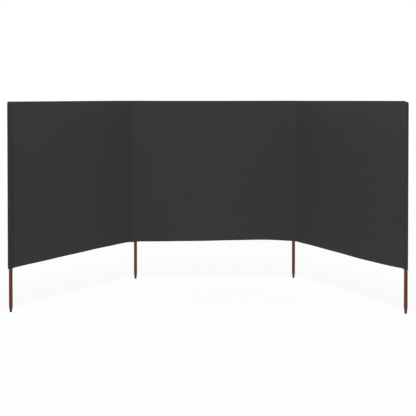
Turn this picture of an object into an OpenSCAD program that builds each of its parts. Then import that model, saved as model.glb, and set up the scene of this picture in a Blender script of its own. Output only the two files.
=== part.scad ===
// Three-bay beach windbreak: a long cloth carried on four pointed poles.
// Each pole stands in a sewn sleeve, and the side bays swing about the middle poles.
// The blunt point of the left middle pole is the origin, and all sizes are in millimetres.

/* [Poles] */
// Diameter of each round pole
pole_d = 26; // [18:0.5:32]
// Length of a pole, from its blunt point to its top
pole_length = 1480; // [1400:5:1800]
// Length of the turned point
point_length = 44; // [20:1:80]
// Diameter of the blunt end of the point
point_d = 15; // [6:0.5:18]
// Chamfer round the blunt end of the point
point_chamfer = 1.2; // [0.4:0.2:2.6]
// Radius on the top edge of a pole
pole_top_radius = 4; // [1:0.5:8]

/* [Cloth] */
// Distance between the axes of neighbouring poles
bay_pitch = 1335; // [900:5:1800]
// Height of the cloth at the poles
cloth_height = 1185; // [800:5:1300]
// Thickness of one layer of cloth
cloth_t = 1.2; // [0.8:0.1:2]
// Depth of the turned-in hems
hem_depth = 22; // [10:1:40]
// Sag of the upper edge between two poles
top_sag = 1; // [0:0.5:12]
// Rise of the left bay's lower edge (a sag when negative)
left_rise = 8.5; // [-12:0.5:12]
// Rise of the middle bay's lower edge
middle_rise = 9.5; // [-12:0.5:12]
// Rise of the right bay's lower edge
right_rise = -8.5; // [-12:0.5:12]

/* [Sleeves] */
// Gap between a pole and its sleeve
sleeve_gap = 0.3; // [0.1:0.1:1]
// How far the outer fold of the left end sleeve stands off its round part
left_fold_slack = 10.5; // [1:0.5:20]
// How far the outer fold of the right end sleeve stands off its round part
right_fold_slack = 6; // [1:0.5:20]
// How far the stitch line lies from the round part of a sleeve
stitch_gap = 23.5; // [10:0.5:60]
// Width of the seam lap beyond a stitch line
seam_lap = 10; // [4:1:25]
// Room above the top of a pole in its closed sleeve
top_room = 18.8; // [4:0.2:30]
// Gap between a middle sleeve and the edge of the side bay that swings round it
swing_gap = 0.3; // [0.2:0.1:1]

/* [Set] */
// Angle by which the left bay is set forward of straight
left_set_angle = 52.1; // [0:0.1:118]
// Angle by which the right bay is set forward of straight
right_set_angle = 61.2; // [0:0.1:118]

/* [Colours] */
// Colour of the poles
pole_colour = "#6b3a28"; // color
// Colour of the cloth
cloth_colour = "#383838"; // color

/* [Hidden] */

$fn = 96;
// Number of straight steps in a curved cloth edge
edge_steps = 24;
// Depth to which a sleeve's straight sides bite into its round part
side_bite = 0.1;
// Place along a bay, from 0 to 1, where its lower edge lies furthest from straight
left_rise_peak = 0.17;
middle_rise_peak = 0.8;
right_rise_peak = 0.7;
top_sag_peak = 0.5;

pole_r = pole_d / 2;
sleeve_inner_r = pole_r + sleeve_gap;
sleeve_outer_r = sleeve_inner_r + cloth_t;
stitch_reach = sleeve_outer_r + stitch_gap;
lap_reach = stitch_reach + seam_lap;
cloth_top = pole_length + top_room + cloth_t;
cloth_bottom = cloth_top - cloth_height;
// Span of a side bay's cloth, measured from its middle pole
side_start = sleeve_outer_r + swing_gap;
side_end = bay_pitch - lap_reach;
// Span of the middle bay's cloth, between the laps of its two sleeves
middle_start = lap_reach;
middle_end = bay_pitch - lap_reach;

// Departure of a cloth edge from straight at place u of a bay, as a share of its most
function bow(u, peak) = sin(180 * pow(u, ln(0.5) / ln(peak)));

// Points along a cloth edge, from its start to its end
function edge(start, end, level, depth, peak) = [
    for (i = [0 : edge_steps])
        let (u = i / edge_steps)
        [start + (end - start) * u, level + depth * bow(u, peak)]
];

function reversed(list) = [for (i = [len(list) - 1 : -1 : 0]) list[i]];

// Corners of the two straight sides that run from a tip on +X until they just bite into a circle
function straight_sides(r, reach) =
    let (inside = r - side_bite, a = acos(inside / reach))
    [[inside * cos(a), -inside * sin(a)], [reach, 0], [inside * cos(a), inside * sin(a)]];

function lower_edge(start, end, rise, peak) = edge(start, end, cloth_bottom, rise, peak);

function upper_edge(start, end) = edge(start, end, cloth_top, -top_sag, top_sag_peak);

function raised(points, height) = [for (p = points) [p[0], p[1] + height]];

// Stands an outline up along a bay, with its near face at the given depth
module upright(depth, thickness) {
    translate([0, depth + thickness, 0])
        rotate([90, 0, 0])
            linear_extrude(height = thickness)
                children();
}

module bay_cloth(start, end, rise, peak) {
    upright(-cloth_t / 2, cloth_t)
        polygon(concat(lower_edge(start, end, rise, peak), reversed(upper_edge(start, end))));
}

module top_hem(start, end) {
    rim = upper_edge(start, end);
    upright(cloth_t / 2, cloth_t)
        polygon(concat(raised(rim, -hem_depth), reversed(rim)));
}

module bottom_hem(start, end, rise, peak) {
    rim = lower_edge(start, end, rise, peak);
    upright(cloth_t / 2, cloth_t)
        polygon(concat(rim, reversed(raised(rim, hem_depth))));
}

// Round pole with a blunt turned point and an eased top edge
module pole() {
    corner = [pole_r - pole_top_radius, pole_length - pole_top_radius];
    rotate_extrude() {
        polygon([
            [0, 0], [point_d / 2 - point_chamfer, 0], [point_d / 2, point_chamfer],
            [pole_r, point_length], [pole_r, corner[1]], [corner[0], pole_length], [0, pole_length]
        ]);
        translate(corner)
            circle(r = pole_top_radius);
    }
}

// Plan of a sleeve at the given radius; its stitch line lies along +X.
// A sleeve with some fold slack is folded along -X, and one with none stays round there.
module sleeve_plan(r, fold_slack) {
    share = r / sleeve_outer_r;
    stitch_side = straight_sides(r, stitch_reach * share);
    fold_side = fold_slack > 0 ? straight_sides(r, (sleeve_outer_r + fold_slack) * share) : [];
    union() {
        circle(r = r);
        polygon(concat(stitch_side, [for (p = fold_side) -p]));
    }
}

// Outline of a sleeve with the two-layer lap that runs on beyond its stitch line
module sleeve_outline(fold_slack) {
    union() {
        sleeve_plan(sleeve_outer_r, fold_slack);
        translate([stitch_reach - seam_lap, -cloth_t])
            square([2 * seam_lap, 2 * cloth_t]);
    }
}

// Sewn sleeve: a loop of cloth round a pole, open below and closed at its top
module sleeve(fold_slack = 0) {
    translate([0, 0, cloth_bottom])
        linear_extrude(height = cloth_height - cloth_t)
            difference() {
                sleeve_outline(fold_slack);
                sleeve_plan(sleeve_inner_r, fold_slack);
            }
    translate([0, 0, cloth_top - cloth_t])
        linear_extrude(height = cloth_t)
            sleeve_outline(fold_slack);
}

// Places a side bay that runs along +X from its middle pole
module left_set() {
    rotate([0, 0, left_set_angle])
        mirror([1, 0, 0])
            children();
}

module right_set() {
    translate([bay_pitch, 0, 0])
        rotate([0, 0, -right_set_angle])
            children();
}

module at_bay_end() {
    translate([bay_pitch, 0, 0])
        children();
}

module end_sleeve(fold_slack) {
    at_bay_end()
        mirror([1, 0, 0])
            sleeve(fold_slack);
}

module left_end_pole() {
    color(pole_colour)
        left_set()
            at_bay_end()
                pole();
}

module left_middle_pole() {
    color(pole_colour)
        pole();
}

module right_middle_pole() {
    color(pole_colour)
        at_bay_end()
            pole();
}

module right_end_pole() {
    color(pole_colour)
        right_set()
            at_bay_end()
                pole();
}

module left_end_sleeve() {
    color(cloth_colour)
        left_set()
            end_sleeve(left_fold_slack);
}

module left_middle_sleeve() {
    color(cloth_colour)
        sleeve();
}

module right_middle_sleeve() {
    color(cloth_colour)
        at_bay_end()
            mirror([1, 0, 0])
                sleeve();
}

module right_end_sleeve() {
    color(cloth_colour)
        right_set()
            end_sleeve(right_fold_slack);
}

module left_bay_cloth() {
    color(cloth_colour)
        left_set()
            bay_cloth(side_start, side_end, left_rise, left_rise_peak);
}

module middle_bay_cloth() {
    color(cloth_colour)
        bay_cloth(middle_start, middle_end, middle_rise, middle_rise_peak);
}

module right_bay_cloth() {
    color(cloth_colour)
        right_set()
            bay_cloth(side_start, side_end, right_rise, right_rise_peak);
}

module left_top_hem() {
    color(cloth_colour)
        left_set()
            top_hem(side_start, side_end);
}

module left_bottom_hem() {
    color(cloth_colour)
        left_set()
            bottom_hem(side_start, side_end, left_rise, left_rise_peak);
}

module middle_top_hem() {
    color(cloth_colour)
        top_hem(middle_start, middle_end);
}

module middle_bottom_hem() {
    color(cloth_colour)
        bottom_hem(middle_start, middle_end, middle_rise, middle_rise_peak);
}

module right_top_hem() {
    color(cloth_colour)
        right_set()
            top_hem(side_start, side_end);
}

module right_bottom_hem() {
    color(cloth_colour)
        right_set()
            bottom_hem(side_start, side_end, right_rise, right_rise_peak);
}

left_end_pole();
left_middle_pole();
right_middle_pole();
right_end_pole();
left_end_sleeve();
left_middle_sleeve();
right_middle_sleeve();
right_end_sleeve();
left_bay_cloth();
middle_bay_cloth();
right_bay_cloth();
left_top_hem();
left_bottom_hem();
middle_top_hem();
middle_bottom_hem();
right_top_hem();
right_bottom_hem();
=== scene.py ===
"""Dresses the beach windbreak: three bays of dark woven cloth, sewn pole sleeves and stained wooden poles."""
import bisect
import logging
import math
from abc import ABC, abstractmethod
from dataclasses import dataclass, field
from enum import Enum
from functools import cache
from typing import ClassVar, NamedTuple, Sequence

import bmesh
import bpy
from bpy.types import Material, Node, NodeSocket, NodeTree, Object
from mathutils import Matrix, Vector


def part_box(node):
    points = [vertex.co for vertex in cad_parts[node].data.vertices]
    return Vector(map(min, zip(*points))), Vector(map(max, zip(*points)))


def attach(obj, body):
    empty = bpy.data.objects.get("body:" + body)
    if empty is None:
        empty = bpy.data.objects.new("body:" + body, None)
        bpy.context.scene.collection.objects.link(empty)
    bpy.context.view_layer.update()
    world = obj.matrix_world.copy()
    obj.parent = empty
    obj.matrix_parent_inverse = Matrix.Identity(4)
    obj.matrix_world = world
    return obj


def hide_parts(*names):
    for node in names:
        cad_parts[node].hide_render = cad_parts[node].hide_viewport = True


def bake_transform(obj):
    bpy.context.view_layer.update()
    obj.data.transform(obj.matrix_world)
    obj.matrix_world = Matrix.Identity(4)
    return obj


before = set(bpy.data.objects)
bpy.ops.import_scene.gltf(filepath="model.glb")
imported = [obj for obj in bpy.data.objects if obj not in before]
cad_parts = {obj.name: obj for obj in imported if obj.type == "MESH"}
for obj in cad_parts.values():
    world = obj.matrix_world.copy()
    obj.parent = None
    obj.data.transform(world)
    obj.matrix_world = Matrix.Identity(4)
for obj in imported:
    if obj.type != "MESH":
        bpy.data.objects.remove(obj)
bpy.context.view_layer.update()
LOG = logging.getLogger("windbreak")

Triple = tuple[float, float, float]
PlanPoint = tuple[float, float]
FULL_TURN = 2 * math.pi
ARC_STEP = math.radians(6)
WHITE = (1.0, 1.0, 1.0, 1.0)
VECTOR = "NodeSocketVector"
NUMBER = "NodeSocketFloat"


class Side(Enum):
    """The three bays, named as they are seen from the sheltered side."""

    LEFT = "left"
    MIDDLE = "middle"
    RIGHT = "right"


class Layer(Enum):
    """The two layers of cloth that make a middle sleeve."""

    FRONT = "front"
    BACK = "back"


def clamped(x: float) -> float:
    """The value, kept between 0 and 1."""
    return min(max(x, 0.0), 1.0)


def smooth(x: float) -> float:
    """Eases from 0 to 1 as x goes from 0 to 1, and stays there."""
    x = clamped(x)
    return x * x * (3 - 2 * x)


def ridge(offset: float, width: float) -> float:
    """A soft ridge, 1 high where the offset is 0."""
    return math.exp(-((offset / width) ** 2))


def dying_wave(depth: float, along: float, reach: float, length: float, phase: float) -> float:
    """Waves along an edge, 1 high there, that die away with the depth from it."""
    return math.exp(-depth / reach) * math.sin(FULL_TURN * along / length + phase)


def steps(start: float, end: float, count: int) -> list[float]:
    """Values from start to end, both included, with count equal steps between them."""
    return [start + (end - start) * i / count for i in range(count + 1)]


def arc(radius: float, start: float, end: float, centre: PlanPoint = (0.0, 0.0)) -> list[PlanPoint]:
    """Points of an arc in plan, about an ARC_STEP apart, between two angles in radians."""
    turns = steps(start, end, max(2, round(abs(end - start) / ARC_STEP)))
    return [(centre[0] + radius * math.cos(a), centre[1] + radius * math.sin(a)) for a in turns]


def centre_of(node: str) -> Vector:
    """Centre of a CAD node's box, at rest."""
    low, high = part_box(node)
    return (low + high) / 2


def linked(item: Object) -> Object:
    """Links an object to the scene, and gives it back."""
    bpy.context.scene.collection.objects.link(item)
    return item


def finished(name: str, bm: bmesh.types.BMesh, material: Material) -> Object:
    """Turns a bmesh into a smooth-shaded object at the origin, and reports it.

    Args:
        name: Name of the piece.
        bm: Its mesh, which is freed.
        material: Its finish.

    Returns:
        The new object.
    """
    for face in bm.faces:
        face.smooth = True
    mesh = bpy.data.meshes.new(name)
    bm.to_mesh(mesh)
    bm.free()
    mesh.materials.append(material)
    LOG.info("%s: %d faces", name, len(mesh.polygons))
    return linked(bpy.data.objects.new(name, mesh))


# Finishes


class NodeBench:
    """Adds and links the nodes of one node tree."""

    def __init__(self, tree: NodeTree) -> None:
        """Starts with an emptied tree."""
        self.tree = tree
        tree.nodes.clear()

    def add(self, kind: str, **settings: object) -> Node:
        """Adds a node, sets its properties and then fills its inputs.

        Args:
            kind: The node's type.
            **settings: Properties of the node by name, and inputs as fill takes them.

        Returns:
            The node.
        """
        node = self.tree.nodes.new(kind)
        own = {key: value for key, value in settings.items() if key in node.bl_rna.properties}
        for key, value in own.items():
            setattr(node, key, value)
        self.fill(node, **{key: value for key, value in settings.items() if key not in own})
        return node

    def fill(self, node: Node, **inputs: object) -> None:
        """Sets or links inputs of a node.

        Args:
            node: The node.
            **inputs: Values or sockets, by the input's name with underscores for spaces, or by its number
                as in0, in1 and so on.
        """
        for key, value in inputs.items():
            numbered = key[:2] == "in" and key[2:].isdigit()
            socket = node.inputs[int(key[2:]) if numbered else key.replace("_", " ")]
            if isinstance(value, NodeSocket):
                self.tree.links.new(value, socket)
            else:
                socket.default_value = value

    def math(self, operation: str, first: object, second: object = 0.0) -> NodeSocket:
        """Adds a Math node and gives its result."""
        return self.add("ShaderNodeMath", operation=operation, in0=first, in1=second).outputs[0]

    def tint(self, blend: str, factor: object, first: object, second: object) -> NodeSocket:
        """Adds a colour Mix node and gives its result."""
        inputs = {"in0": factor, "in6": first, "in7": second}
        return self.add("ShaderNodeMix", data_type="RGBA", blend_type=blend, **inputs).outputs[2]

    def shaded(self, colour: object, shade: NodeSocket) -> NodeSocket:
        """Multiplies a colour by a shade of grey."""
        grey = self.add("ShaderNodeCombineColor", Red=shade, Green=shade, Blue=shade).outputs[0]
        return self.tint("MULTIPLY", 1.0, colour, grey)

    def graded(self, value: NodeSocket, **limits: float) -> NodeSocket:
        """Maps a value from one range to another, each of them 0 to 1 where no limit is given."""
        return self.add("ShaderNodeMapRange", Value=value, **limits).outputs[0]

    def stretched(self, place: NodeSocket, scale: Triple) -> NodeSocket:
        """Scales coordinates by axis."""
        return self.add("ShaderNodeMapping", Vector=place, Scale=scale).outputs[0]

    def noise(self, place: NodeSocket, cells: Triple, detail: float = 3.0, rough: float = 0.5) -> NodeSocket:
        """Adds a Noise Texture with so many cells a metre along each axis, and gives its value."""
        look = {"Scale": 1.0, "Detail": detail, "Roughness": rough}
        return self.add("ShaderNodeTexNoise", Vector=self.stretched(place, cells), **look).outputs["Fac"]

    def drift(self, place: NodeSocket, scale: float, amount: float) -> NodeSocket:
        """Places the drift of tone and gives its factor."""
        inputs = {"Vector": place, "Scale": scale, "Amount": amount}
        return self.add("ShaderNodeGroup", node_tree=tone_drift(), **inputs).outputs["Factor"]


def new_group(name: str, inputs: dict[str, str], outputs: Sequence[str]) -> tuple[NodeTree, NodeBench, Node]:
    """Starts a shader node group.

    Args:
        name: Name of the group.
        inputs: Socket types of its inputs, by name.
        outputs: Names of its outputs, which are numbers.

    Returns:
        The group, a bench for its nodes and its input node.
    """
    tree = bpy.data.node_groups.new(name, "ShaderNodeTree")
    for key, kind in inputs.items():
        tree.interface.new_socket(key, in_out="INPUT", socket_type=kind)
    for key in outputs:
        tree.interface.new_socket(key, in_out="OUTPUT", socket_type=NUMBER)
    bench = NodeBench(tree)
    return tree, bench, bench.add("NodeGroupInput")


@cache
def tone_drift() -> NodeTree:
    """Node group, built once: a slow, uneven drift of tone about 1.

    Returns:
        The group, with the inputs Vector, Scale and Amount and the output Factor.
    """
    inputs = {"Vector": VECTOR, "Scale": NUMBER, "Amount": NUMBER}
    tree, bench, group = new_group("tone_drift", inputs, ["Factor"])
    given = group.outputs
    noise = bench.add("ShaderNodeTexNoise", Vector=given["Vector"], Scale=given["Scale"], Detail=4.0)
    spread = bench.math("SUBTRACT", noise.outputs["Fac"], 0.5)
    drift = bench.math("MULTIPLY", spread, given["Amount"])
    bench.add("NodeGroupOutput", Factor=bench.math("ADD", drift, 1.0))
    return tree


@cache
def plain_weave() -> NodeTree:
    """Node group, built once: the yarns of a plain weave, with thick and thin stretches along both sets.

    Returns:
        The group, with the inputs Place and Yarns (a metre) and the outputs Height and Slub.
    """
    tree, bench, group = new_group("plain_weave", {"Place": VECTOR, "Yarns": NUMBER}, ["Height", "Slub"])
    place = group.outputs["Place"]
    split = bench.add("ShaderNodeSeparateXYZ", Vector=place).outputs
    turn = bench.math("MULTIPLY", group.outputs["Yarns"], math.pi)
    waves = [bench.math("SINE", bench.math("MULTIPLY", split[axis], turn)) for axis in (0, 1)]
    height = bench.math("ADD", bench.math("MULTIPLY", bench.math("MULTIPLY", *waves), 0.5), 0.5)
    along, across = 6.0, 420.0
    slubs = [bench.noise(place, cells, detail=2.0) for cells in ((along, across, 1.0), (across, along, 1.0))]
    slub = bench.math("MULTIPLY", bench.math("ADD", *slubs), 0.5)
    bench.add("NodeGroupOutput", Height=height, Slub=slub)
    return tree


def new_material(name: str, **plain: float) -> tuple[Material, NodeBench, Node]:
    """Starts a material with a Principled shader.

    Args:
        name: Name of the finish.
        **plain: Values that are the same all over the surface, by the names of the shader's inputs.

    Returns:
        The material, a bench for its nodes and its shader.
    """
    material = bpy.data.materials.new(name)
    material.use_nodes = True
    bench = NodeBench(material.node_tree)
    shader = bench.add("ShaderNodeBsdfPrincipled", **plain)
    bench.add("ShaderNodeOutputMaterial", Surface=shader.outputs[0])
    return material, bench, shader


@dataclass(frozen=True)
class ClothFinish:
    """Matte woven polyester cloth, with painted shade that darkens the end sleeve round an end pole."""

    name: str
    # Painted shade: past this distance along the cloth, over the blend, the end sleeve's colour is multiplied
    # by the shade factor
    painted_shade_from: float
    painted_sleeve_shade: float = 0.90
    painted_shade_blend: float = 0.004
    colour: Triple = (0.0395, 0.0395, 0.0395)
    yarns_per_m: float = 900.0
    drift: float = 0.06
    slub: float = 0.12
    weave_depth: float = 0.00012

    def material(self) -> Material:
        """Builds the finish on the cloth's own flat coordinates, in metres.

        Returns:
            The material.
        """
        material, bench, shader = new_material(
            self.name, Roughness=0.86, Specular_IOR_Level=0.12, Sheen_Weight=0.04, Sheen_Roughness=0.5,
        )
        flat = bench.add("ShaderNodeUVMap", uv_map=Cloth.UV).outputs[0]
        yarns = {"Place": flat, "Yarns": self.yarns_per_m}
        weave = bench.add("ShaderNodeGroup", node_tree=plain_weave(), **yarns).outputs
        slub = bench.math("ADD", bench.math("MULTIPLY", weave["Slub"], self.slub), 1 - self.slub / 2)
        # Painted shade: darkens the end sleeve, past the bay's span along the cloth
        painted_shade = bench.graded(
            bench.add("ShaderNodeSeparateXYZ", Vector=flat).outputs[0], From_Min=self.painted_shade_from,
            From_Max=self.painted_shade_from + self.painted_shade_blend, To_Min=1.0, To_Max=self.painted_sleeve_shade,
        )
        drift = bench.drift(flat, scale=3.1, amount=self.drift)
        shade = bench.math("MULTIPLY", bench.math("MULTIPLY", slub, drift), painted_shade)
        relief = {"Strength": 0.35, "Distance": self.weave_depth, "Height": weave["Height"]}
        bump = bench.add("ShaderNodeBump", **relief).outputs[0]
        bench.fill(shader, Base_Color=bench.shaded((*self.colour, 1.0), shade), Normal=bump)
        return material


@dataclass(frozen=True)
class ThreadFinish:
    """Spun polyester sewing thread."""

    name: str = "dark_sewing_thread"
    colour: Triple = (0.072, 0.072, 0.072)

    def material(self) -> Material:
        """Builds the finish on object coordinates.

        Returns:
            The material.
        """
        material, bench, shader = new_material(self.name, Roughness=0.6, Specular_IOR_Level=0.25)
        place = bench.add("ShaderNodeTexCoord").outputs["Object"]
        flecks = bench.drift(place, scale=260.0, amount=0.5)
        bench.fill(shader, Base_Color=bench.shaded((*self.colour, 1.0), flecks))
        return material


@dataclass(frozen=True)
class StainedWood:
    """Softwood under a reddish-brown stain, with its grain along the pole, and darker towards its point."""

    point_length: float
    name: str = "stained_pole_wood"
    early: Triple = (0.169, 0.054, 0.025)
    late: Triple = (0.100, 0.031, 0.014)
    tip_colour: Triple = (0.014, 0.009, 0.007)
    late_below: float = 0.34
    early_above: float = 0.66
    tip_dark_share: float = 0.6
    tip_dark_full: float = 0.016
    tip_dark_cover: float = 0.96
    ragged: float = 0.012
    pore_share: float = 0.5

    def material(self) -> Material:
        """Builds the finish on object coordinates.

        Returns:
            The material.
        """
        material, bench, shader = new_material(self.name, Specular_IOR_Level=0.1)
        place = bench.add("ShaderNodeTexCoord").outputs["Object"]
        grain = bench.noise(place, cells=(210.0, 210.0, 3.2), detail=5.0, rough=0.6)
        ramp = bench.add("ShaderNodeValToRGB", Fac=grain)
        ends = ((self.late_below, self.late), (self.early_above, self.early))
        for stop, (position, colour) in zip(ramp.color_ramp.elements, ends):
            stop.position = position
            stop.color = (*colour, 1.0)
        slow = bench.stretched(place, scale=(1.0, 1.0, 0.35))
        stain = bench.shaded(ramp.outputs[0], bench.drift(slow, scale=9.0, amount=0.5))
        height = bench.add("ShaderNodeSeparateXYZ", Vector=place).outputs[2]
        ragged = bench.math("MULTIPLY", bench.noise(place, cells=(90.0, 90.0, 20.0)), self.ragged)
        # Darkens the point towards its tip, with a ragged edge
        limits = {"From_Min": self.tip_dark_share * self.point_length, "From_Max": self.tip_dark_full}
        tip_dark = bench.graded(bench.math("ADD", height, ragged), **limits)
        cover = bench.math("MULTIPLY", tip_dark, self.tip_dark_cover)
        colour = bench.tint("MIX", cover, stain, (*self.tip_colour, 1.0))
        pores = bench.noise(place, cells=(900.0, 900.0, 22.0))
        relief = bench.math("ADD", grain, bench.math("MULTIPLY", pores, self.pore_share))
        bump = bench.add("ShaderNodeBump", Strength=0.4, Distance=0.0004, Height=relief).outputs[0]
        gloss = bench.graded(grain, To_Min=0.65, To_Max=0.47)
        bench.fill(shader, Base_Color=colour, Normal=bump, Roughness=gloss)
        return material


# Poles


@dataclass
class Pole:
    """A round pole with a blunt turned point, spun from its profile; sizes in metres."""

    node: str
    body: str
    point_length: float = 0.044
    point_radius: float = 0.0075
    point_ease: float = 0.0012
    top_radius: float = 0.004
    segments: int = 48
    point_steps: int = 10
    shaft_steps: int = 12
    top_steps: int = 5
    merge: float = 1e-6

    def profile(self) -> list[PlanPoint]:
        """Half outline of the pole, from the middle of its point to the middle of its top.

        Returns:
            Pairs of radius and height.
        """
        low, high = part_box(self.node)
        radius, top = (high.x - low.x) / 2, high.z
        line = [(0.0, 0.0), (self.point_radius - self.point_ease, 0.0)]
        for share in steps(0.0, 1.0, self.point_steps):
            taper = self.point_radius + (radius - self.point_radius) * share
            line.append((taper, self.point_ease + (self.point_length - self.point_ease) * share))
        line += [(radius, z) for z in steps(self.point_length, top - self.top_radius, self.shaft_steps)[1:]]
        for turn in steps(0.0, math.pi / 2, self.top_steps)[1:]:
            inwards, down = 1 - math.cos(turn), 1 - math.sin(turn)
            line.append((radius - self.top_radius * inwards, top - self.top_radius * down))
        return line + [(0.0, top)]

    def build(self, material: Material) -> None:
        """Args:
            material: The pole's finish.
        """
        axis = centre_of(self.node)
        bm = bmesh.new()
        verts = [bm.verts.new((axis.x + r, axis.y, z)) for r, z in self.profile()]
        edges = [bm.edges.new(pair) for pair in zip(verts, verts[1:])]
        bmesh.ops.spin(
            bm, geom=verts + edges, cent=(axis.x, axis.y, 0.0), axis=(0.0, 0.0, 1.0),
            angle=FULL_TURN, steps=self.segments, use_merge=True,
        )
        bmesh.ops.remove_doubles(bm, verts=bm.verts, dist=self.merge)
        bmesh.ops.recalc_face_normals(bm, faces=bm.faces)
        piece = finished(f"{self.node}_wood", bm, material)
        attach(piece, self.body)
        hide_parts(self.node)


# Cloth


@dataclass(frozen=True)
class ClothSizes:
    """Sizes of the cloth and its sewing, in metres; the depth of a lap is in gaps between layers."""

    bottom: float
    top: float
    bay: float
    pole_top: float
    pole_radius: float
    thickness: float = 0.00055
    hem: float = 0.022
    hem_row: float = 0.019
    hem_step: float = 0.008
    layer_gap: float = 0.00095
    lap_gaps: float = 1.15
    flap_gaps: float = 2.2
    hem_gaps: float = 3.0
    stitch_reach: float = 0.038
    lap: float = 0.010
    turn_under: float = 0.007
    sleeve_ease: float = 0.0018
    closed_half: float = 0.0016
    closing_row: float = 0.006
    tent: float = 0.0105
    tent_clear: float = 0.0002
    row_end: float = 0.002
    seam_end: float = 0.004

    @property
    def height(self) -> float:
        """Height of the cloth between its edges."""
        return self.top - self.bottom

    @property
    def span(self) -> float:
        """Width of a bay between its two stitch lines."""
        return self.bay - 2 * self.stitch_reach

    @property
    def sleeve_radius(self) -> float:
        """Radius at which a sleeve passes round its pole."""
        return self.pole_radius + self.sleeve_ease

    @property
    def cut_height(self) -> float:
        """Height to which the cloth is cut, with both hems."""
        return self.height + 2 * self.hem

    def closed(self, z: float) -> float:
        """Share by which a sleeve is closed at height z: 0 round the pole, 1 where its top is sewn shut."""
        return smooth((z - self.pole_top - self.tent_clear) / self.tent)

    def over_hem(self, z: float) -> float:
        """1 where a lap crosses a hem and lies further out, 0 between the hems."""
        return 1 - smooth((min(z - self.bottom, self.top - z) - self.hem) / self.hem_step)

    def hem_lift(self, gaps: float, z: float) -> float:
        """How much further out a lap lies at height z than between the hems."""
        return (self.hem_gaps - gaps) * self.layer_gap * self.over_hem(z)

    def lap_depth(self, gaps: float, z: float) -> float:
        """How far behind the bay a lap's outer layer lies at height z."""
        return gaps * self.layer_gap + self.hem_lift(gaps, z)


@dataclass(frozen=True)
class Row:
    """A row of a sheet: a share of its height, steps up and back from there, and its height laid flat."""

    share: float
    step: float = 0.0
    back: float = 0.0
    flat: float = 0.0


@dataclass(frozen=True)
class EdgeShape:
    """How the free edges of a bay leave a straight line, in metres."""

    rise: float
    rise_peak: float
    sag: float = 0.0
    sag_peak: float = 0.5
    low_fall: float = 0.0
    top_fall: float = 0.0
    droop: float = 0.0
    droop_length: float = 0.056
    droop_start: float = 0.032

    @staticmethod
    def bow(share: float, peak: float) -> float:
        """A single bow from 0 to 1 and back, highest at the given peak."""
        return math.sin(math.pi * clamped(share) ** (math.log(0.5) / math.log(peak)))

    def levels(self, s: float, sizes: ClothSizes) -> tuple[float, float]:
        """Heights of the lower and upper edge at a place along the bay.

        Args:
            s: Distance from the bay's inner pole.
            sizes: The cloth's sizes.

        Returns:
            The two heights.
        """
        laps = sizes.stitch_reach + sizes.lap
        share = (s - laps) / (sizes.bay - 2 * laps)
        low = sizes.bottom + self.rise * self.bow(share, self.rise_peak) - self.low_fall * smooth(share)
        high = sizes.top - self.sag * self.bow(share, self.sag_peak) - self.top_fall * smooth(share)
        return low, high - self.droop * smooth((s - sizes.bay + self.droop_start) / self.droop_length)


@dataclass(frozen=True)
class Drape:
    """Soft shape of a bay across its plane, in metres; towards the back is positive."""

    billow: float
    ripple: float
    pull: float
    phase: float
    crease: float = 0.0005
    crease_width: float = 0.006
    held_edge: float = 0.09
    edge_billow: float = 0.55
    top_share: float = 0.5
    top_phase: float = -1.7
    fold_share: float = 0.3
    fold_wander: float = 0.9
    fold_turn: float = 3.1
    pull_reach: float = 0.22
    pull_clear: float = 0.08
    pull_rays: float = 9.0

    def at(self, share: float, up: float, sizes: ClothSizes) -> float:
        """Departure from the bay's plane.

        Args:
            share: Place along the bay, from 0 at one stitch line to 1 at the other.
            up: Place up the cloth, from 0 at its lower edge to 1 at its upper edge.
            sizes: The cloth's sizes.

        Returns:
            The distance towards the back.
        """
        if not 0.0 < share < 1.0:
            return 0.0
        along, height = share * sizes.span, up * sizes.height
        near, fall = min(along, sizes.span - along), sizes.height - height
        swell = self.edge_billow + (1 - self.edge_billow) * math.sin(math.pi * up)
        belly = self.billow * math.sin(math.pi * share) * swell
        low = dying_wave(height, along, reach=0.16, length=0.37, phase=self.phase)
        top = dying_wave(fall, along, reach=0.11, length=0.29, phase=self.top_phase * self.phase)
        wander = self.fold_wander * math.sin(self.fold_turn * up + self.phase)
        folds = dying_wave(near, near, reach=0.08, length=0.06, phase=wander)
        corner = math.hypot(near, fall)
        rays = math.sin(self.pull_rays * math.atan2(fall, near) + self.phase)
        pulls = math.exp(-corner / self.pull_reach) * rays * smooth(corner / self.pull_clear)
        across = ridge((share - 0.5) * sizes.span, self.crease_width)
        level = sum(ridge(height - sizes.height * third / 3, self.crease_width) for third in (1, 2))
        ripples = self.ripple * (low + self.top_share * top)
        soft = belly + ripples + self.pull * (pulls + self.fold_share * folds)
        return smooth(near / self.held_edge) * (soft + self.crease * (across - level))


@dataclass(frozen=True)
class BayFrame:
    """Plan frame of a bay: s runs along it from its inner pole, n to its back."""

    origin: Vector
    along: Vector
    back: Vector

    @classmethod
    def between(cls, inner: Vector, outer: Vector, hand: float = 1.0) -> "BayFrame":
        """Frame of a bay between two poles, with its back on the left, or on the right for a hand of -1."""
        along = (outer - inner).normalized()
        return cls(inner, along, Vector((-along.y, along.x)) * hand)

    def place(self, s: float, n: float, z: float) -> Vector:
        """Point of the part's frame at s, n and z."""
        flat = self.origin + self.along * s + self.back * n
        return Vector((flat.x, flat.y, z))


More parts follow.
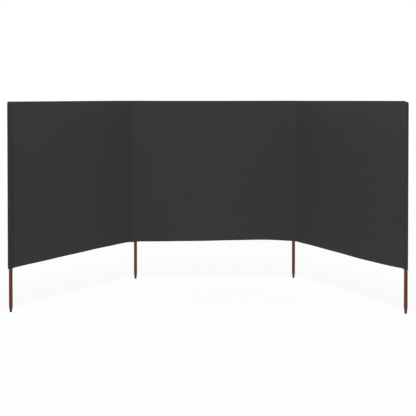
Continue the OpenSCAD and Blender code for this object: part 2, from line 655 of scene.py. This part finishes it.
class PlanPath:
    """A line in plan, measured along its length, with the cloth's back on its left."""

    SHORTEST: ClassVar[float] = 1e-9

    def __init__(self, points: Sequence[PlanPoint]) -> None:
        """Measures a line through plan points.

        Args:
            points: The points, in order.
        """
        self.points = [Vector(p) for p in points]
        self.reach = [0.0]
        for a, b in zip(self.points, self.points[1:]):
            self.reach.append(self.reach[-1] + (b - a).length)

    @property
    def length(self) -> float:
        """Whole length of the path."""
        return self.reach[-1]

    def point(self, distance: float) -> Vector:
        """Point at a distance along the path.

        Args:
            distance: The distance, which is kept within the path.

        Returns:
            The point.
        """
        distance = min(max(distance, 0.0), self.length)
        i = min(max(bisect.bisect_left(self.reach, distance), 1), len(self.reach) - 1)
        a, b, start = self.points[i - 1], self.points[i], self.reach[i - 1]
        return a.lerp(b, (distance - start) / max(self.reach[i] - start, self.SHORTEST))

    def back(self, distance: float, over: float = 0.0012) -> Vector:
        """Unit normal on the path's left at a distance along it."""
        run = self.point(distance + over) - self.point(distance - over)
        return Vector((-run.y, run.x)).normalized()


class Spot(NamedTuple):
    """Where one stitch lies: its middle, its direction and the way out of the cloth."""

    point: Vector
    run: Vector
    out: Vector


@dataclass(frozen=True)
class Thread:
    """Size and spacing of one lock stitch, in metres."""

    pitch: float = 0.0058
    length: float = 0.0047
    width: float = 0.0011
    rise: float = 0.0008

    def sew(self, name: str, rows: Sequence[Sequence[Spot]], material: Material) -> Object:
        """Lays rows of stitches and joins them into one piece.

        Args:
            name: Name of the piece.
            rows: The stitches of each row.
            material: The thread's finish.

        Returns:
            The stitching.
        """
        joined = bmesh.new()
        for row in rows:
            bm = bmesh.new()
            for spot in row:
                side = spot.out.cross(spot.run).normalized()
                axes = (spot.run * self.length / 2, side * self.width / 2, spot.out * self.rise / 2)
                place = Matrix.Translation(spot.point) @ Matrix(axes).transposed().to_4x4()
                bmesh.ops.create_icosphere(bm, subdivisions=1, radius=1.0, matrix=place)
            mesh = bpy.data.meshes.new("row")
            bm.to_mesh(mesh)
            bm.free()
            joined.from_mesh(mesh)
            bpy.data.meshes.remove(mesh)
        bmesh.ops.recalc_face_normals(joined, faces=joined.faces)
        return finished(name, joined, material)


@dataclass
class Cloth(ABC):
    """A sheet of cloth: a grid that is shaped along a line in plan and up its rows."""

    side: Side
    sizes: ClothSizes
    thread: Thread = field(default_factory=Thread, init=False)
    path: PlanPath = field(init=False)

    UV: ClassVar[str] = "flat_cloth"
    # Rows of the grid: shares of a turned-in hem, then distances from the lower and from the upper edge
    HEM_SHARES: ClassVar[tuple[float, ...]] = (1.0, 0.75, 0.5, 0.25, 0.06)
    HEM_TURNS: ClassVar[int] = 4
    LOW_LEVELS: ClassVar[tuple[float, ...]] = (0.0, 0.005, 0.011, 0.0165, 0.0215, 0.026, 0.031)
    TOP_LEVELS: ClassVar[tuple[float, ...]] = (
        0.036, 0.031, 0.027, 0.0245, 0.022, 0.0195, 0.017, 0.0145, 0.012, 0.009, 0.006, 0.003, 0.0,
    )
    # Rows between those: the first one's height, how far the last stays below the upper ones, and the steps
    BODY_FROM: ClassVar[float] = 0.036
    BODY_CLEAR: ClassVar[float] = 0.008
    BODY_ROWS: ClassVar[int] = 92

    @property
    @abstractmethod
    def name(self) -> str:
        """Name of the sheet."""

    @abstractmethod
    def columns(self) -> list[float]:
        """Distances of the grid's columns along the cloth."""

    @abstractmethod
    def place(self, distance: float, row: Row) -> Vector:
        """Point of the part's frame for a place on the cloth."""

    def rows(self) -> list[Row]:
        """Rows from the lower hem's inner edge, round its fold, up the cloth and over into the upper hem.

        Returns:
            The rows of the grid.
        """
        size = self.sizes
        fold = size.layer_gap / 2
        turn = math.pi * fold
        hem = [(size.hem * k, 2 * fold, -turn - size.hem * k) for k in self.HEM_SHARES]
        for a in steps(math.pi, 0.0, self.HEM_TURNS)[:-1]:
            hem.append((-fold * math.sin(a), fold * (1 - math.cos(a)), -a * fold))
        top = [size.height - d for d in self.TOP_LEVELS]
        body = [*self.LOW_LEVELS, *steps(self.BODY_FROM, top[0] - self.BODY_CLEAR, self.BODY_ROWS), *top]
        return (
            [Row(0.0, step, back, flat) for step, back, flat in hem]
            + [Row(d / size.height, 0.0, 0.0, d) for d in body]
            + [Row(1.0, -step, back, size.height - flat) for step, back, flat in reversed(hem)]
        )

    def sheet(self, material: Material) -> Object:
        """Makes the grid, shapes it and gives it its thickness.

        Args:
            material: The cloth's finish.

        Returns:
            The sheet.
        """
        columns, rows = self.columns(), self.rows()
        across, up = len(columns) - 1, len(rows) - 1
        bm = bmesh.new()
        bmesh.ops.create_grid(bm, x_segments=across, y_segments=up, size=0.5)
        flat = bm.loops.layers.uv.new(self.UV)
        cells = {v: (round((v.co.x + 0.5) * across), round((v.co.y + 0.5) * up)) for v in bm.verts}
        for vert, (i, j) in cells.items():
            vert.co = self.place(columns[i], rows[j])
        for face in bm.faces:
            for loop in face.loops:
                i, j = cells[loop.vert]
                loop[flat].uv = (columns[i], rows[j].flat)
        piece = finished(self.name, bm, material)
        skin = piece.modifiers.new("thickness", "SOLIDIFY")
        skin.thickness, skin.offset = self.sizes.thickness, 0.0
        return piece

    def spot(self, distance: float, row: Row, upright: bool, front: bool) -> Spot:
        """Where a stitch lies on one face of the cloth.

        Args:
            distance: Distance along the cloth.
            row: Row of the cloth.
            upright: Whether the stitch runs up the cloth, and not along it.
            front: Whether it lies on the front face.

        Returns:
            The stitch's place.
        """
        over = 0.001
        here = self.place(distance, row)
        along = (self.place(distance + over, row) - self.place(distance - over, row)).normalized()
        above = Row(row.share, row.step + over, row.back)
        below = Row(row.share, row.step - over, row.back)
        up = (self.place(distance, above) - self.place(distance, below)).normalized()
        behind = self.place(distance, Row(row.share, row.step, row.back + over)) - here
        out = along.cross(up).normalized()
        if (out.dot(behind) > 0) == front:
            out = -out
        return Spot(here + out * self.sizes.thickness / 2, up if upright else along, out)

    def level_seam(self, start: float, end: float, row: Row, front: bool = True) -> list[Spot]:
        """A row of stitches along a row of the cloth, between two distances, on its front or back face."""
        count = round((end - start) / self.thread.pitch)
        return [self.spot(t, row, False, front) for t in steps(start, end, count)]

    def upright_seam(self, distance: float, gaps: float = 0.0) -> list[Spot]:
        """A row of stitches up the cloth, from hem to hem.

        Args:
            distance: Distance along the cloth.
            gaps: Depth of the lap on whose back face it lies; 0 for a row on the cloth's front face.

        Returns:
            Its stitches.
        """
        size, row = self.sizes, []
        end = size.seam_end / size.height
        for u in steps(end, 1 - end, round(size.height / self.thread.pitch)):
            back = size.lap_depth(gaps, size.bottom + u * size.height) if gaps else 0.0
            row.append(self.spot(distance, Row(u, 0.0, back), True, not gaps))
        return row

    def declare(self, piece: Object, stitching: Object, nodes: Sequence[str], poles: Sequence[str]) -> None:
        """Hides the CAD nodes that a finished sheet replaces.

        Args:
            piece: The sheet; not used.
            stitching: Its stitching; not used.
            nodes: CAD nodes that the sheet replaces.
            poles: Pieces that hold it; not used.
        """
        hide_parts(*nodes)


@dataclass
class BayCloth(Cloth):
    """One bay of cloth with its hems and, on a side bay, the sleeve that is folded round its end pole."""

    plan: BayFrame
    edges: EdgeShape
    drape: Drape
    fold_reach: float
    nose: float = 0.003
    seam_rows: tuple[float, float] = (0.0016, 0.0076)
    flap_row_end: float = 0.001
    close_over: float = 0.012
    pressed: float = 0.3
    fold_clear: float = 0.006
    fold_search: int = 400
    body_inset: float = 0.034
    body_columns: int = 112
    loop_columns: int = 64

    def __post_init__(self) -> None:
        """Lays out the bay's line in plan."""
        size = self.sizes
        line = [(size.stitch_reach, 0.0), (size.bay - size.stitch_reach, 0.0)]
        self.path = PlanPath(line + self.loop()[1:] if self.has_loop else line)

    @property
    def name(self) -> str:
        """Name of the sheet."""
        return f"{self.side.value}_bay_sheet"

    @property
    def has_loop(self) -> bool:
        """Whether the cloth ends in a sleeve of its own."""
        return self.side is not Side.MIDDLE

    @property
    def flap_end(self) -> float:
        """Distance along the cloth at which the end sleeve's lap is turned under."""
        return self.path.length - self.sizes.turn_under - math.pi * self.sizes.layer_gap / 2

    def loop(self) -> list[PlanPoint]:
        """Plan of the end sleeve: past the front of the pole, round its outer fold and back to the stitches.

        Returns:
            Points of s and n.
        """
        size = self.sizes
        r, reach = size.sleeve_radius, size.stitch_reach
        touch = math.acos(r / reach)
        lean = math.acos((r - self.nose) / (self.fold_reach - self.nose))
        front = [(-reach, 0.0)] + arc(r, math.pi + touch, FULL_TURN - lean)
        nose = arc(self.nose, -lean, lean, (self.fold_reach - self.nose, 0.0))
        flap, half = size.flap_gaps * size.layer_gap, size.layer_gap / 2
        back = arc(r, lean, math.pi - touch) + [(-reach, flap), (-reach - size.lap, flap)]
        under = arc(half, math.pi / 2, 1.5 * math.pi, (-reach - size.lap, flap - half))
        end = [(-reach - size.lap + size.turn_under, flap - size.layer_gap)]
        return [(size.bay + x, y) for x, y in front + nose + back + under + end]

    def place(self, distance: float, row: Row) -> Vector:
        """Point of the part's frame for a place on this bay's cloth.

        Args:
            distance: Distance along the bay's line in plan.
            row: Row of the cloth.

        Returns:
            The point.
        """
        size = self.sizes
        spot, back = self.path.point(distance), self.path.back(distance)
        low, high = self.edges.levels(spot.x, size)
        z = low + row.share * (high - low) + row.step
        pressed = self.pressed if distance > self.flap_end else 1.0
        here = spot + back * (row.back * pressed)
        if distance <= size.span:
            share = (spot.x - size.stitch_reach) / size.span
            soft = self.drape.at(share, (z - low) / (high - low), size)
            return self.plan.place(here.x, here.y + soft, z)
        inner = (spot.x - size.bay + size.stitch_reach) / self.close_over
        layer = -1.0 if distance < (size.span + self.flap_end) / 2 else 1.0
        shut = size.closed(z) * smooth(inner)
        n = here.y + (layer * (size.closed_half - row.back) - here.y) * shut
        if layer > 0:
            n += size.hem_lift(size.flap_gaps, z) * smooth(1 - inner)
        return self.plan.place(here.x, n, z)

    def columns(self) -> list[float]:
        """Distances of the grid's columns along the bay, closer together at its ends.

        Returns:
            The distances.
        """
        span = self.sizes.span
        ends = [0.0, 0.003, 0.008, 0.015, 0.024]
        body = steps(self.body_inset, span - self.body_inset, self.body_columns)
        bay = ends + body + [span - d for d in reversed(ends)]
        return bay + steps(span, self.path.length, self.loop_columns)[1:] if self.has_loop else bay

    def seams(self) -> list[list[Spot]]:
        """Hem rows, the double rows at both stitch lines, and the rows round the end sleeve.

        Returns:
            The rows of stitches.
        """
        size, end = self.sizes, self.sizes.row_end
        inner, rows = size.lap + end, []
        for edge, step in ((0.0, size.hem_row), (1.0, -size.hem_row)):
            rows.append(self.level_seam(end, size.span - end, Row(edge, step)))
            rows.append(self.level_seam(inner, size.span - inner, Row(edge, step, size.layer_gap), False))
            if self.has_loop:
                rows += self.round_seam(self.flap_end - self.flap_row_end, Row(edge, step))
        for inset in self.seam_rows:
            for distance in (inset, size.span - inset):
                at_flap = self.has_loop and distance > inset
                rows.append(self.upright_seam(distance))
                rows.append(self.upright_seam(distance, size.flap_gaps if at_flap else size.lap_gaps))
        if self.has_loop:
            rows += self.round_seam(self.flap_end - size.lap - end, Row(1.0, -size.closing_row))
        return rows

    def round_seam(self, end: float, row: Row) -> list[list[Spot]]:
        """The two halves of a row round the end sleeve, before and behind its outer fold.

        Args:
            end: Distance along the cloth at which it ends.
            row: Row of the cloth that it follows.

        Returns:
            Two rows of stitches.
        """
        start = self.sizes.span + self.sizes.row_end
        fold = max(steps(start, end, self.fold_search), key=lambda t: self.path.point(t).x)
        halves = ((start, fold - self.fold_clear), (fold + self.fold_clear, end))
        return [self.level_seam(*half, row) for half in halves]

    def build(self, material: Material, thread: Material) -> None:
        """Args:
            material: The cloth's finish.
            thread: The stitching's finish.
        """
        bay = self.side.value
        parts = self.sheet(material), self.thread.sew(f"{bay}_bay_stitching", self.seams(), thread)
        for part in parts:
            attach(part, f"{bay}_bay")
        nodes = [f"{bay}_bay_cloth", f"{bay}_top_hem", f"{bay}_bottom_hem"]
        poles = ["left_middle_pole_wood", "right_middle_pole_wood"]
        if self.has_loop:
            nodes.append(f"{bay}_end_sleeve")
            poles = [f"{bay}_end_pole_wood"]
        self.declare(*parts, nodes, poles)


@dataclass
class SleeveLayer(Cloth):
    """One layer of a middle sleeve: the cloth that passes before the pole, or the strip sewn behind it."""

    layer: Layer
    axis: Vector
    middle: Vector
    outer: Vector
    ease: float
    seam_ease: float = 0.022
    close_share: float = 0.12
    column_steps: int = 48
    lap_steps: int = 3
    curve_steps: int = 40
    seam: PlanPath = field(init=False)

    def __post_init__(self) -> None:
        """Lays out the layer's line in plan, about the pole's axis, and the line of its closed top."""
        in_front = self.layer is Layer.FRONT
        first, last = self.middle, self.outer
        if (self.side is Side.LEFT) == in_front:
            first, last = last, first
        ends = first * self.sizes.stitch_reach, last * self.sizes.stitch_reach
        self.path = PlanPath(self.before(*ends, self.ease) if in_front else self.behind(first, last))
        self.seam = PlanPath(self.before(*ends, self.seam_ease))

    @property
    def name(self) -> str:
        """Name of the sheet."""
        return f"{self.side.value}_middle_sleeve_{self.layer.value}"

    @property
    def lap(self) -> float:
        """Width of the lap at each end of the layer."""
        return self.sizes.lap if self.layer is Layer.BACK else 0.0

    def before(self, start: Vector, end: Vector, ease: float) -> list[PlanPoint]:
        """Smooth line from start to end that leaves each along its own bay.

        Args:
            start: First point, about the pole's axis.
            end: Last point, about the pole's axis.
            ease: Length of each handle, towards the axis.

        Returns:
            Plan points.
        """
        a, b = start - start.normalized() * ease, end - end.normalized() * ease
        line = []
        for t in steps(0.0, 1.0, self.curve_steps):
            u = 1 - t
            line.append(tuple(start * u**3 + a * (3 * u * u * t) + b * (3 * u * t * t) + end * t**3))
        return line

    def behind(self, first: Vector, last: Vector) -> list[PlanPoint]:
        """Line of the strip behind the pole, with its sewn laps lying on the backs of the two bays.

        Args:
            first: Direction of the bay where the strip starts.
            last: Direction of the bay where it ends.

        Returns:
            Plan points about the pole's axis.
        """
        size = self.sizes
        r, reach = size.sleeve_radius, size.stitch_reach
        depth = size.lap_gaps * size.layer_gap
        touch = math.acos(r / reach)
        start = math.atan2(first.y, first.x)
        sweep = (math.atan2(last.y, last.x) - start) % FULL_TURN
        left, right = Vector((-first.y, first.x)) * depth, Vector((last.y, -last.x)) * depth
        lead = [first * (reach + size.lap) + left, first * reach + left]
        tail = [last * reach + right, last * (reach + size.lap) + right]
        line = arc(r, start + touch, start + sweep - touch)
        return [tuple(p) for p in lead] + line + [tuple(p) for p in tail]

    def place(self, distance: float, row: Row) -> Vector:
        """Point of the part's frame for a place on this layer.

        Args:
            distance: Distance along the layer's line in plan.
            row: Row of the cloth.

        Returns:
            The point.
        """
        size = self.sizes
        z = size.bottom + row.share * size.height + row.step
        back = self.path.back(distance)
        spot = self.path.point(distance) + back * row.back
        share = clamped((distance - self.lap) / (self.path.length - 2 * self.lap))
        run = share * self.seam.length
        flat = self.seam.point(run) - self.seam.back(run) * (size.closed_half - row.back)
        ends = smooth(share / self.close_share) * smooth((1 - share) / self.close_share)
        spot = spot.lerp(flat, size.closed(z) * ends)
        if self.layer is Layer.BACK:
            spot = spot - back * (size.hem_lift(size.lap_gaps, z) * (1 - ends))
        return Vector((self.axis.x + spot.x, self.axis.y + spot.y, z))

    def columns(self) -> list[float]:
        """Distances of the grid's columns along the layer.

        Returns:
            The distances.
        """
        inner = steps(self.lap, self.path.length - self.lap, self.column_steps)
        laps = steps(0.0, self.lap, self.lap_steps)[:-1] if self.lap else []
        return laps + inner + [self.path.length - d for d in reversed(laps)]

    def seams(self) -> list[list[Spot]]:
        """Hem rows and the row that closes the sleeve's top, on the outer face.

        Returns:
            The rows of stitches.
        """
        size, end = self.sizes, self.sizes.row_end
        rows = (Row(0.0, size.hem_row), Row(1.0, -size.hem_row), Row(1.0, -size.closing_row))
        return [self.level_seam(end, self.path.length - end, row) for row in rows]

    def build(self, material: Material, thread: Material) -> None:
        """Makes the layer and its stitching, and applies their transforms to their meshes.

        Args:
            material: The cloth's finish.
            thread: The stitching's finish.
        """
        side = self.side.value
        parts = self.sheet(material), self.thread.sew(f"{self.name}_stitching", self.seams(), thread)
        start, end = (self.axis + d.to_3d() * self.sizes.stitch_reach for d in (self.middle, self.outer))
        for part in parts:
            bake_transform(part)
            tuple(start)
            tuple(end)
        self.declare(*parts, [f"{side}_middle_sleeve"], [f"{side}_middle_pole_wood"])


# Set


@dataclass(frozen=True)
class Camera:
    """The photograph's camera: nearly level, with its frame shifted down."""

    name: str = "photograph_view"
    place: Triple = (0.4334, -6.9069, 1.5281)
    tilt_deg: float = 1.0
    yaw_deg: float = -1.473
    lens: float = 71.04
    sensor: float = 36.0
    shift: float = -0.2314

    def build(self) -> None:
        """Makes the camera and sets it as the scene's own."""
        data = bpy.data.cameras.new(self.name)
        data.lens, data.sensor_width, data.shift_y = self.lens, self.sensor, self.shift
        camera = linked(bpy.data.objects.new(self.name, data))
        camera.location = self.place
        camera.rotation_euler = (math.radians(90.0 - self.tilt_deg), 0.0, math.radians(self.yaw_deg))
        bpy.context.scene.camera = camera


@dataclass(frozen=True)
class Lamp:
    """A large soft lamp: its azimuth in degrees to the right of straight in front, its power in watts."""

    name: str
    azimuth: float
    power: float
    distance: float = 11.0
    height: float = 3.0
    size: float = 3.0

    def build(self, aim: Vector) -> None:
        """Makes the lamp and points it.

        Args:
            aim: Middle of the windbreak, from which its distance is measured in plan.
        """
        turn = math.radians(self.azimuth)
        data = bpy.data.lights.new(self.name, "AREA")
        data.energy, data.size = self.power, self.size
        lamp = linked(bpy.data.objects.new(self.name, data))
        x, y = aim.x + self.distance * math.sin(turn), aim.y - self.distance * math.cos(turn)
        lamp.location = (x, y, self.height)
        lamp.rotation_euler = (aim - lamp.location).to_track_quat("-Z", "Y").to_euler()


@dataclass(frozen=True)
class Studio:
    """White floor and soft even light."""

    sky: float = 0.43
    floor_half: float = 150.0
    floor_grey: Triple = (0.86, 0.86, 0.86)
    floor_lift: float = 0.86
    floor_white: float = 1.03
    shadow_reach: float = 3.0
    white_from: float = 8.0
    aim: Triple = (0.6, -0.5, 0.9)
    lamps: tuple[Lamp, ...] = (
        Lamp("front_right", azimuth=26.0, power=165.0),
        Lamp("front_left", azimuth=-33.0, power=220.0),
        Lamp("back_right", azimuth=135.0, power=200.0),
        Lamp("back_left", azimuth=-135.0, power=200.0),
        Lamp("overhead", azimuth=0.0, power=185.0, distance=1.8, height=7.0),
    )

    def build(self) -> None:
        """Makes the world, the floor and the lamps."""
        self.world()
        self.floor()
        for lamp in self.lamps:
            lamp.build(Vector(self.aim))

    @staticmethod
    def shown(bench: NodeBench) -> NodeSocket:
        """Mask that is 1 for the rays that show the background, and 0 for those that light the object.

        Args:
            bench: Bench of the world or the floor.

        Returns:
            The mask.
        """
        path = bench.add("ShaderNodeLightPath").outputs
        seen = bench.math("ADD", path["Is Camera Ray"], path["Is Glossy Ray"])
        return bench.math("MINIMUM", bench.math("ADD", seen, path["Is Transmission Ray"]), 1.0)

    @staticmethod
    def mixed(bench: NodeBench, share: NodeSocket, first: Node, second: Node) -> NodeSocket:
        """Mixes two shaders by the share of the second."""
        shaders = {"in1": first.outputs[0], "in2": second.outputs[0]}
        return bench.add("ShaderNodeMixShader", in0=share, **shaders).outputs[0]

    def world(self) -> None:
        """A white sky that lights evenly."""
        world = bpy.data.worlds.new("white_sky")
        world.use_nodes = True
        bench = NodeBench(world.node_tree)
        glow = bench.add("ShaderNodeBackground", Color=WHITE, Strength=self.sky)
        white = bench.add("ShaderNodeBackground", Color=WHITE, Strength=1.0)
        bench.add("ShaderNodeOutputWorld", Surface=self.mixed(bench, self.shown(bench), glow, white))
        bpy.context.scene.world = world

    def floor(self) -> None:
        """A white floor that keeps a faint shadow near the windbreak."""
        material = bpy.data.materials.new("white_floor")
        material.use_nodes = True
        bench = NodeBench(material.node_tree)
        plain = bench.add("ShaderNodeBsdfDiffuse", Color=(*self.floor_grey, 1.0))
        white = bench.add("ShaderNodeEmission", Color=WHITE, Strength=self.floor_white)
        place = bench.add("ShaderNodeTexCoord").outputs["Object"]
        reach = bench.add("ShaderNodeVectorMath", operation="LENGTH", Vector=place).outputs["Value"]
        limits = {"From_Min": self.shadow_reach, "From_Max": self.white_from, "To_Min": self.floor_lift}
        lift = bench.math("MULTIPLY", self.shown(bench), bench.graded(reach, **limits))
        bench.add("ShaderNodeOutputMaterial", Surface=self.mixed(bench, lift, plain, white))
        bm = bmesh.new()
        bmesh.ops.create_grid(bm, x_segments=2, y_segments=2, size=self.floor_half)
        finished("studio_floor", bm, material)


# Windbreak


@dataclass
class Windbreak:
    """The whole windbreak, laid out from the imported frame."""

    sizes: ClothSizes = field(init=False)
    plans: dict[Side, BayFrame] = field(init=False)

    POLE_BODIES: ClassVar[dict[str, str]] = {
        "left_end": "left_bay", "left_middle": "middle_bay",
        "right_middle": "middle_bay", "right_end": "right_bay",
    }
    EDGES: ClassVar[dict[Side, EdgeShape]] = {
        Side.LEFT: EdgeShape(rise=0.0085, rise_peak=0.17, sag=-0.0005, low_fall=0.0024, top_fall=0.0018),
        Side.MIDDLE: EdgeShape(rise=0.0095, rise_peak=0.8, sag=0.0012, sag_peak=0.35),
        Side.RIGHT: EdgeShape(rise=-0.0085, rise_peak=0.7, top_fall=-0.0026, droop=0.009),
    }
    DRAPES: ClassVar[dict[Side, Drape]] = {
        Side.LEFT: Drape(billow=0.007, ripple=0.0020, pull=0.0018, phase=0.7),
        Side.MIDDLE: Drape(billow=0.009, ripple=0.0022, pull=0.0018, phase=2.1),
        Side.RIGHT: Drape(billow=0.006, ripple=0.0020, pull=0.0020, phase=4.0),
    }
    # How far an end sleeve's outer fold stands out from the pole's axis
    FOLD_REACH: ClassVar[dict[Side, float]] = {Side.LEFT: 0.025, Side.MIDDLE: 0.025, Side.RIGHT: 0.0205}
    # How straight the cloth runs on from each bay before it turns in front of a middle pole
    SLEEVE_EASE: ClassVar[dict[Side, float]] = {Side.LEFT: 0.007, Side.RIGHT: 0.010}
    # Painted shade on the left end sleeve, the darker of the two
    LEFT_PAINTED_SHADE: ClassVar[float] = 0.76

    def __post_init__(self) -> None:
        """Reads the poles' places and the cloth's levels from the frame."""
        low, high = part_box("left_middle_sleeve")
        foot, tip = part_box("left_middle_pole")
        spots = {name: centre_of(f"{name}_pole").xy for name in self.POLE_BODIES}
        left, right = spots["left_middle"], spots["right_middle"]
        self.sizes = ClothSizes(
            bottom=low.z, top=high.z, bay=(right - left).length,
            pole_top=tip.z, pole_radius=(tip.x - foot.x) / 2,
        )
        self.plans = {
            Side.LEFT: BayFrame.between(left, spots["left_end"], hand=-1.0),
            Side.MIDDLE: BayFrame.between(left, right),
            Side.RIGHT: BayFrame.between(right, spots["right_end"]),
        }

    def poles(self) -> None:
        """Makes the four poles."""
        wood = StainedWood(Pole.point_length).material()
        for place, body in self.POLE_BODIES.items():
            Pole(f"{place}_pole", body).build(wood)

    def cloths(self) -> None:
        """Makes the three bays and the two layers of each middle sleeve."""
        size = self.sizes
        # Both finishes paint shade on the end sleeves: the default factor on the right one, a darker one on
        # the left
        dark = ClothFinish("dark_woven_cloth", size.span).material()
        shaded = ClothFinish("dark_woven_cloth_painted_shade_sleeve", size.span, self.LEFT_PAINTED_SHADE).material()
        thread = ThreadFinish().material()
        for side, plan in self.plans.items():
            bay = BayCloth(side, size, plan, self.EDGES[side], self.DRAPES[side], self.FOLD_REACH[side])
            bay.build(shaded if side is Side.LEFT else dark, thread)
        for side, ease in self.SLEEVE_EASE.items():
            plan = self.plans[side]
            middle = self.plans[Side.MIDDLE].along * (1.0 if side is Side.LEFT else -1.0)
            for layer in Layer:
                sleeve = SleeveLayer(side, size, layer, plan.origin.to_3d(), middle, plan.along, ease)
                sleeve.build(dark, thread)

    def build(self) -> None:
        """Makes every piece."""
        self.poles()
        self.cloths()


def main() -> None:
    """Builds the set and the windbreak."""
    logging.basicConfig(level=logging.INFO, format="%(name)s %(message)s")
    bpy.context.scene.view_settings.view_transform = "Standard"
    Camera().build()
    Studio().build()
    Windbreak().build()


if __name__ == "__main__":
    main()
